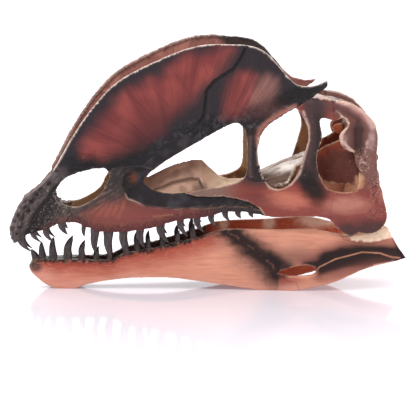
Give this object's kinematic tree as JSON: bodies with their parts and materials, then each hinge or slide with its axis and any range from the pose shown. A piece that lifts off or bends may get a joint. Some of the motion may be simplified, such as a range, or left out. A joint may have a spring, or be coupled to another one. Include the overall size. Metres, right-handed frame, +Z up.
{
  "type": "crested theropod dinosaur skull cast",
  "caption": "Life-size painted resin cast of a two-crested theropod skull with its lower jaw in place, resting on its chin and jaw corners for display.",
  "frame": {"origin": "centre of the footprint of the whole skull, on the ground", "axes": "+X from the snout to the heel of the jaw, +Y to the right side of the skull, +Z up"},
  "size_m": [0.624, 0.1508, 0.3925],
  "materials": {
    "charcoal": "satin charcoal airbrush paint over cast resin",
    "crest_red": "satin brick-red paint with charcoal borders over cast resin",
    "maxilla_red": "satin brown-red paint with charcoal hollows over cast resin",
    "cheek_pink": "satin pink-brown paint over cast resin",
    "inner_brown": "satin dark red-brown paint over cast resin",
    "bare_tan": "bare tan resin with a brown wash",
    "jaw_salmon": "satin salmon paint with charcoal bands over cast resin",
    "joint_cream": "bare cream resin, rough cast"
  },
  "bodies": {
    "root": {"premaxilla_left": "charcoal", "premaxilla_right": "charcoal", "maxilla_left": "maxilla_red", "maxilla_right": "maxilla_red", "nasal_left": "crest_red", "nasal_right": "crest_red", "lacrimal_left": "crest_red", "lacrimal_right": "crest_red", "jugal_left": "cheek_pink", "jugal_right": "cheek_pink", "postorbital_left": "charcoal", "postorbital_right": "charcoal", "squamosal_left": "cheek_pink", "squamosal_right": "cheek_pink", "quadratojugal_left": "cheek_pink", "quadratojugal_right": "cheek_pink", "quadrate_left": "inner_brown", "quadrate_right": "inner_brown", "palatine_left": "bare_tan", "palatine_right": "bare_tan", "pterygoid_left": "bare_tan", "pterygoid_right": "bare_tan", "dentary_left": "jaw_salmon", "dentary_right": "jaw_salmon", "surangular_left": "jaw_salmon", "surangular_right": "jaw_salmon", "angular_left": "jaw_salmon", "angular_right": "jaw_salmon", "articular_left": "joint_cream", "articular_right": "joint_cream", "skull_roof": "inner_brown", "braincase": "inner_brown", "vomer": "bare_tan"}
  },
  "joints": []
}
